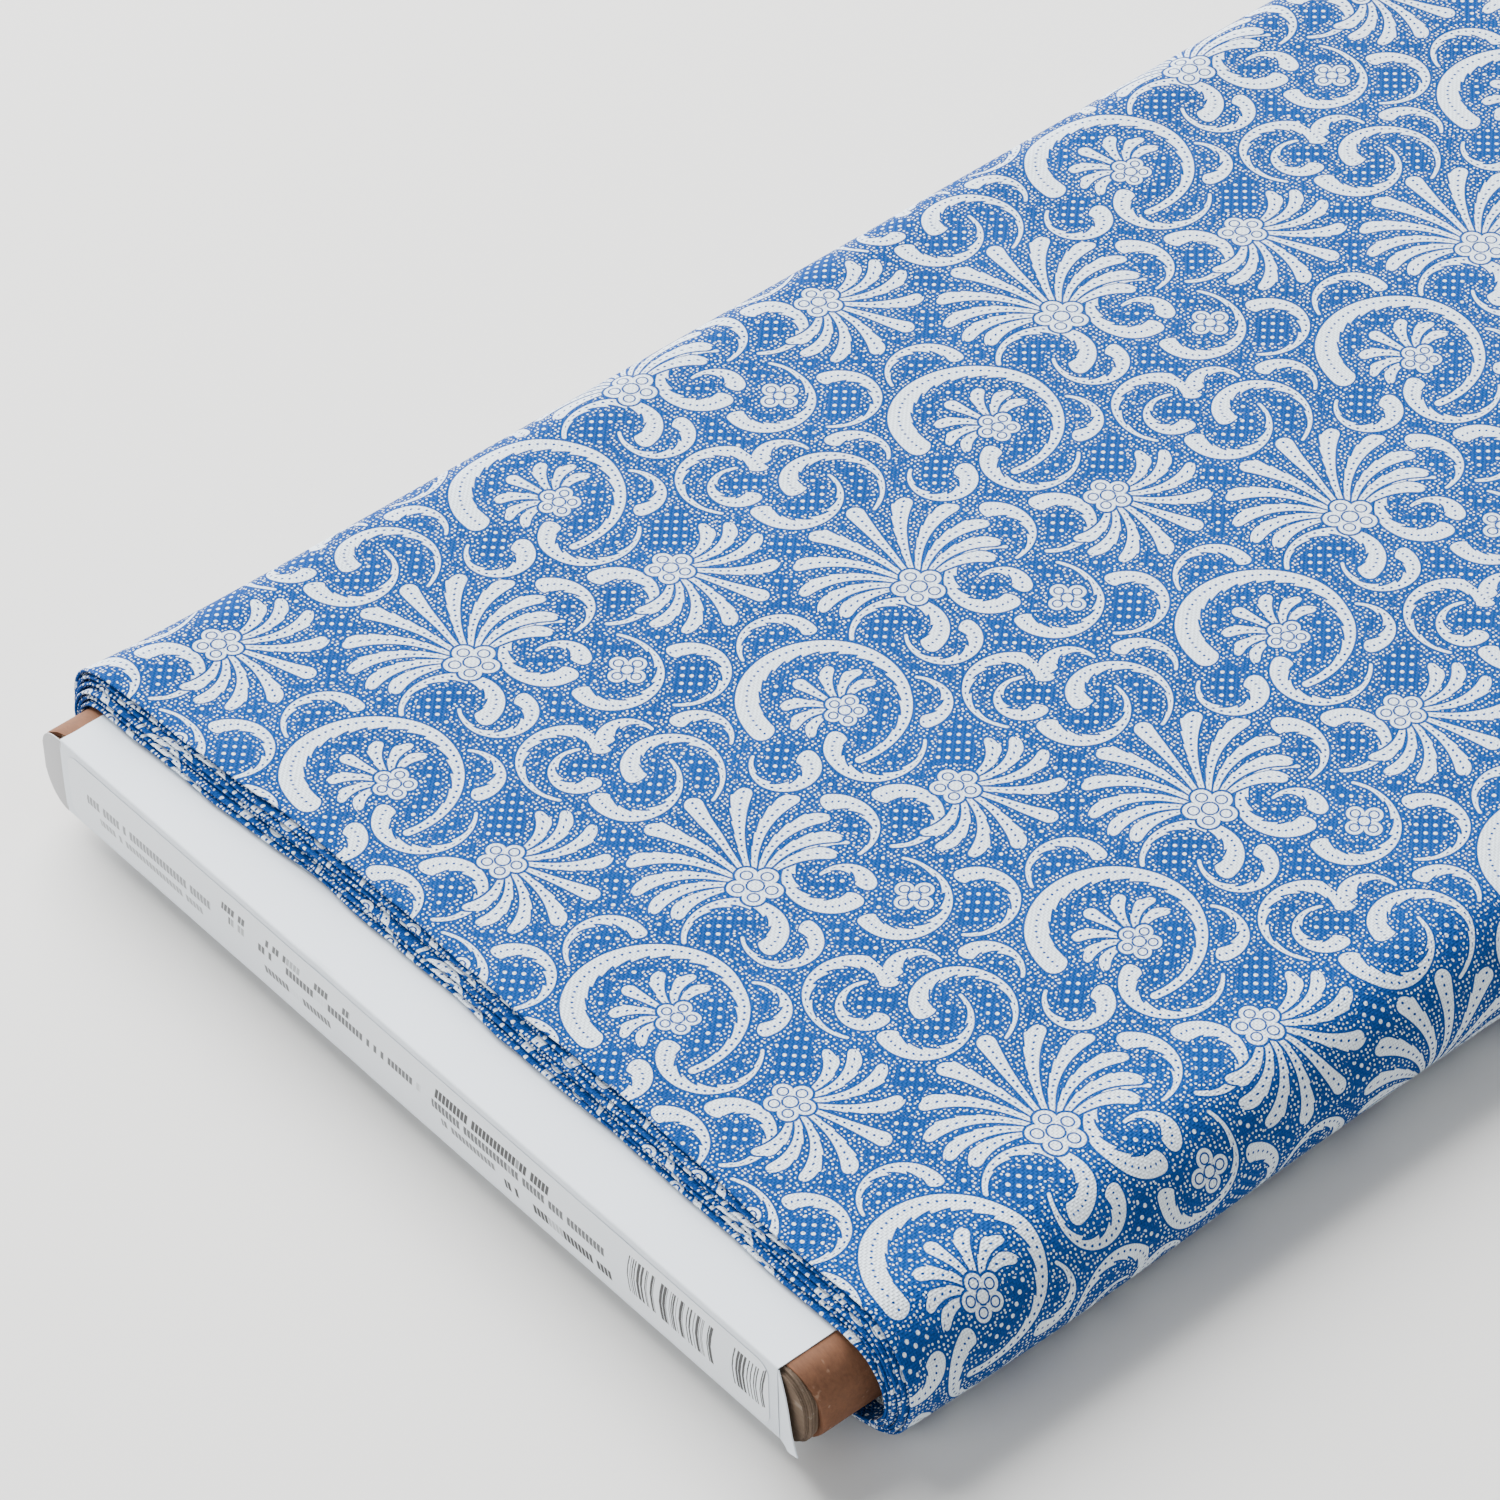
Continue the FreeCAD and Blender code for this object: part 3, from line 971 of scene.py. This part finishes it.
def tinted(tree, colour, tone):
    """A colour made lighter and darker by a tone that is near one."""
    node = place(tree, tree.nodes.new("ShaderNodeVectorMath"))
    node.operation = "SCALE"
    node.inputs[0].default_value = colour
    wire(tree, node.inputs["Scale"], tone)
    return Val(tree, node.outputs[0])


def blend_colours(tree, factor, a, b):
    node = place(tree, tree.nodes.new("ShaderNodeMix"))
    node.data_type = "RGBA"
    wire(tree, node.inputs[0], factor)
    for socket, c in ((node.inputs[6], a), (node.inputs[7], b)):
        wire(tree, socket, c if isinstance(c, Val) else (*c, 1))
    return Val(tree, node.outputs[2])


def bump(tree, shader, height, distance, strength=1.0):
    node = add_node(tree, "ShaderNodeBump", {"Height": height, "Strength": strength, "Distance": distance})
    tree.links.new(node.socket, shader.inputs["Normal"])


def finish(name):
    """New material; gives the material, its tree and its shader."""
    m = bpy.data.materials.new(name)
    m.use_nodes = True
    return m, m.node_tree, m.node_tree.nodes["Principled BSDF"]


# %% [markdown]
# Cotton: the blue soaks in unevenly and the white is the bare, slightly bluish
# cloth. The last millimetres at the plain end are the unprinted selvedge.

# %% Printed cotton
SELVEDGE = 7.0           # millimetres
cotton, tree, shader = finish("printed_cotton")
uv = add_node(tree, "ShaderNodeUVMap", out="UV", uv_map="cloth")
point = add_node(tree, "ShaderNodeVectorMath", {0: uv, "Scale": 1000.0}, operation="SCALE")
shifted = add_node(tree, "ShaderNodeVectorMath", {0: point, 1: (SHRINK, SHRINK, 1.0), 2: (20.0, 12.0, 0.0)},
                   operation="MULTIPLY_ADD")
bare, inside = use(tree, block_print, point_in_mm=shifted)
height, tone = use(tree, weave, point_in_mm=point, pitch=0.52, uneven=0.6)
from_fold, _ = xy_of(point)
selvedge = soft_step(calc("ABSOLUTE", from_fold), 1000 * (X_FAR - X_CLOTH) - SELVEDGE, 0.4)
bare = calc("MAXIMUM", bare, selvedge)
dye = add_node(tree, "ShaderNodeTexNoise", {"Vector": point, "Scale": 0.05, "Detail": 4.0})
# both colours carry the weave's tone: painted shade between the yarns, and real slub streaks
blue = tinted(tree, (0.0008, 0.052, 0.245), tone * madd(dye, 0.5, 0.75))
linen = tinted(tree, (0.83, 0.92, 1.0), tone)
cloth_colour = blend_colours(tree, bare, blue, linen)
tree.links.new(cloth_colour.socket, shader.inputs["Base Color"])
rough = madd(bare, -0.06, 0.88)
tree.links.new(rough.socket, shader.inputs["Roughness"])
shader.inputs["Sheen Weight"].default_value = 0.03
shader.inputs["Sheen Roughness"].default_value = 0.5
shader.inputs["Specular IOR Level"].default_value = 0.08
bump(tree, shader, height, 0.00012, 1.0)


# %% [markdown]
# Card and paper. The brown sleeve is rough kraft with pale scuffs, the grey card
# is pulp with visible layers at its cut edges, and the end paper is a smooth,
# slightly grey white sheet. Its far corner, bent back round the rounded edge, is
# that paper painted darker grey: painted shade.

# %% Card and paper
def card(name, colour, rough, grain, cloud, flecks, pale, depth, contrast, layers=0.0):
    """Card or paper: grain and cloud are waves in a metre, depth is the bump's, in metres."""
    m, tree, shader = finish(name)
    place_at = add_node(tree, "ShaderNodeTexCoord", out="Object")
    height, tone, fleck = use(tree, fibre, point=place_at, grain=grain, cloud=cloud, flecks=flecks,
                             contrast=contrast)
    base = tinted(tree, colour, tone)
    if layers:
        x, _ = xy_of(place_at)
        wob = add_node(tree, "ShaderNodeTexNoise", {"Vector": place_at, "Scale": 120.0})
        line = calc("SINE", madd(x, 2 * math.pi / layers, wob * 5.0))
        base = blend_colours(tree, soft_step(line, 0.75, 0.4) * 0.45, base, tuple(0.45 * c for c in colour))
        height = madd(line, 0.5, height)
    colour_out = blend_colours(tree, fleck, base, pale)
    tree.links.new(colour_out.socket, shader.inputs["Base Color"])
    tree.links.new(madd(height, 0.16, rough - 0.08).socket, shader.inputs["Roughness"])
    shader.inputs["Specular IOR Level"].default_value = 0.3
    bump(tree, shader, height, depth, 0.6)
    return m


kraft = card("brown_card", (0.168, 0.073, 0.037), rough=0.82, grain=1500.0, cloud=90.0, flecks=0.4,
             pale=(0.42, 0.27, 0.18), depth=0.00012, contrast=0.9)
grey = card("grey_card", (0.150, 0.104, 0.072), rough=0.92, grain=2200.0, cloud=150.0, flecks=0.3,
            pale=(0.36, 0.30, 0.24), depth=0.00015, contrast=0.8, layers=0.00045)
brown = card("brown_paper", (0.20, 0.10, 0.055), rough=0.85, grain=1900.0, cloud=70.0, flecks=0.3,
             pale=(0.50, 0.38, 0.28), depth=0.00008, contrast=0.7)
white = card("white_paper", (0.70, 0.75, 0.805), rough=0.42, grain=4000.0, cloud=35.0, flecks=0.0,
             pale=(0.8, 0.8, 0.8), depth=0.00002, contrast=0.08)
# the far corner's paper is the white paper painted darker grey: painted shade where it bends back round the
# rounded corner
wrap_paper_painted_shade = card("white_paper_painted_shade", (0.42, 0.42, 0.43), rough=0.6, grain=4000.0, cloud=35.0, flecks=0.0,
                  pale=(0.8, 0.8, 0.8), depth=0.00003, contrast=0.12)

# %% [markdown]
# The sticker carries only blank lines of type and plain bars. Its own map runs
# in metres from the near end, so the layout below is in millimetres from the
# far end, which is where the lines begin.

# %% Sticker finish
label, tree, shader = finish("sticker_paper")
uv = add_node(tree, "ShaderNodeUVMap", out="UV", uv_map="cloth")
x, y = xy_of(uv)
x, y = madd(x, -1000.0, STICKER_W), y * 1000.0


def within(v, a, b, soft=0.12):
    return soft_step(v, a, soft) * (1.0 - soft_step(v, b, soft))


def hashed(v, step, seed):
    cell = calc("FLOOR", v / step) + seed
    return add_node(tree, "ShaderNodeTexWhiteNoise", {"W": cell}, out="Value", noise_dimensions="1D")


ink = None
# from and to across the sticker, from and to up it, darkness and seed of each line
TYPE_LINES = (
    (5, 40, 6.2, 8.2, 0.7, 3), (8, 37, 3.3, 4.7, 0.6, 5),
    (43, 78, 9.4, 11.2, 0.9, 7), (45, 97, 6.9, 8.7, 0.9, 11), (50, 72, 2.9, 4.4, 0.85, 13),
    (99, 130, 9.0, 11.4, 1.0, 17), (100, 146, 6.2, 8.1, 0.9, 19),
    (102, 116, 3.6, 5.0, 0.8, 23), (118, 146, 1.9, 3.7, 1.0, 29),
)
LETTER, WORD, BAR = 0.95, 3.8, 0.27
for x0, x1, y0, y1, dark, seed in TYPE_LINES:
    letters = soft_step(hashed(x, LETTER, seed), 0.12, 0.02)
    letters = letters * within(calc("FRACT", x / LETTER), 0.06, 0.86, 0.1)
    words = soft_step(hashed(x, WORD, seed + 40), 0.10, 0.02)
    line = within(x, x0, x1) * within(y, y0, y1) * letters * words * dark
    ink = line if ink is None else calc("MAXIMUM", ink, line)
bars = soft_step(hashed(x, BAR, 61), 0.40, 0.02)
bars = bars * within(calc("FRACT", x / (3 * BAR)), 0.16, 1.2, 0.05)
block = calc("MAXIMUM", within(x, 150, 171), within(x, 176, 184))
ink = calc("MAXIMUM", ink, bars * block * within(y, 3.4, 12.2))
place_at = add_node(tree, "ShaderNodeTexCoord", out="Object")
height, tone, fleck = use(tree, fibre, point=place_at, grain=4000.0, cloud=30.0, flecks=0.0, contrast=0.08)
label_colour = blend_colours(tree, ink, tinted(tree, (0.75, 0.79, 0.835), tone), (0.012, 0.012, 0.014))
tree.links.new(label_colour.socket, shader.inputs["Base Color"])
tree.links.new(madd(height, 0.1, 0.4).socket, shader.inputs["Roughness"])
bump(tree, shader, height, 0.00001, 0.5)

tree = yarn_finish.node_tree
shader = tree.nodes["Principled BSDF"]
place_at = add_node(tree, "ShaderNodeTexCoord", out="Object")
dyed = add_node(tree, "ShaderNodeTexNoise", {"Vector": place_at, "Scale": 900.0, "Detail": 2.0})
yarn_colour = blend_colours(tree, soft_step(dyed, 0.5, 0.12), (0.02, 0.10, 0.30), (0.62, 0.68, 0.74))
wire(tree, shader.inputs["Base Color"], yarn_colour)
shader.inputs["Roughness"].default_value = 0.9
for o in (inner_cloth, under_cloth, tail_cloth):
    paint(o, cotton)
paint(sleeve, kraft)
for o in plies:
    paint(o, grey)
paint(end_sheet, white)
# the far corner gets the grey paper, which is painted shade
paint(far_wrap, wrap_paper_painted_shade)
paint(ear, white)
paint(sticker, label)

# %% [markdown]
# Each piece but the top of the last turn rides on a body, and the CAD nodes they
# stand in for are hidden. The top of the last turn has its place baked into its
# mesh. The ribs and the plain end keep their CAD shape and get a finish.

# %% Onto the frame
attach(inner_cloth, "roll")
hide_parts("wound_cloth")
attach(under_cloth, "roll")
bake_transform(tail_cloth)
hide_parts("cloth_tail")
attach(yarns, "tail")
for o, node in ((sleeve, "sleeve"), (end_sheet, "end_paper"), (sticker, "sticker")):
    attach(o, "board")
    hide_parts(node)
for i, o in enumerate(plies):
    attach(o, "board")
    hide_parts("label_end_ply_%d" % (i + 1))
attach(far_wrap, "board")
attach(ear, "ear")
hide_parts("paper_ear")
for name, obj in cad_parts.items():
    if name.startswith(("rib", "plain_end_ply")):
        paint(obj, grey)
    elif name == "plain_end_paper":
        paint(obj, brown)

# %% [markdown]
# The three sheets of doubled cloth, as wide as the folded cotton and as long as
# the path they follow.


# %% [markdown]
# The view is a long lens from the near left, looking down at about 44 degrees.

# %% Camera
LENS, CAMERA_AT = 163.75, (-0.73775, -0.63473, 0.83064)
right = Vector((0.76124297, -0.64804109, -0.02349303))
down = Vector((-0.46369849, -0.51865817, -0.71831566))
ahead = Vector((0.45331319, 0.55770641, -0.69532056))
cam = bpy.data.cameras.new("camera")
cam.lens, cam.sensor_width, cam.clip_end = LENS, 36, 20
camera = bpy.data.objects.new("camera", cam)
basis = Matrix((right, -down, -ahead)).transposed().to_4x4()
camera.matrix_world = Matrix.Translation(CAMERA_AT) @ basis
bpy.context.scene.collection.objects.link(camera)
bpy.context.scene.camera = camera
print("camera", CAMERA_AT, "lens", LENS)

# %% [markdown]
# The floor and the lights belong to the stage, not to the object. One big soft
# light stands behind the far edge, and a weaker one on the labelled end's side.

# %% Floor and light
floor = new_mesh("floor", [(-3, -3, 0), (3, -3, 0), (3, 3, 0), (-3, 3, 0)], [(0, 1, 2, 3)])
floor.location.z = -0.0003
floor_paint, tree, shader = finish("floor_paint")
shader.inputs["Base Color"].default_value = (0.80, 0.79, 0.765, 1)
shader.inputs["Roughness"].default_value = 0.9
paint(floor, floor_paint)


def soft_light(name, where, target, size, watts, colour=(1, 1, 1)):
    light = bpy.data.lights.new(name, "AREA")
    light.shape, light.size, light.energy, light.color = "SQUARE", size, watts, colour
    obj = bpy.data.objects.new(name, light)
    obj.location = where
    obj.rotation_euler = (Vector(target) - Vector(where)).to_track_quat("-Z", "Y").to_euler()
    bpy.context.scene.collection.objects.link(obj)
    return obj


ORIGIN = (0, 0, 0)
soft_light("window", (0.35, 1.85, 1.7), ORIGIN, 2.6, 310)
soft_light("fill", (-1.7, -0.3, 0.9), ORIGIN, 1.4, 17)
world = bpy.data.worlds.new("studio")
world.use_nodes = True
sky = world.node_tree.nodes["Background"]
sky.inputs["Color"].default_value = (0.9, 0.95, 1.0, 1)
sky.inputs["Strength"].default_value = 0.32
bpy.context.scene.world = world
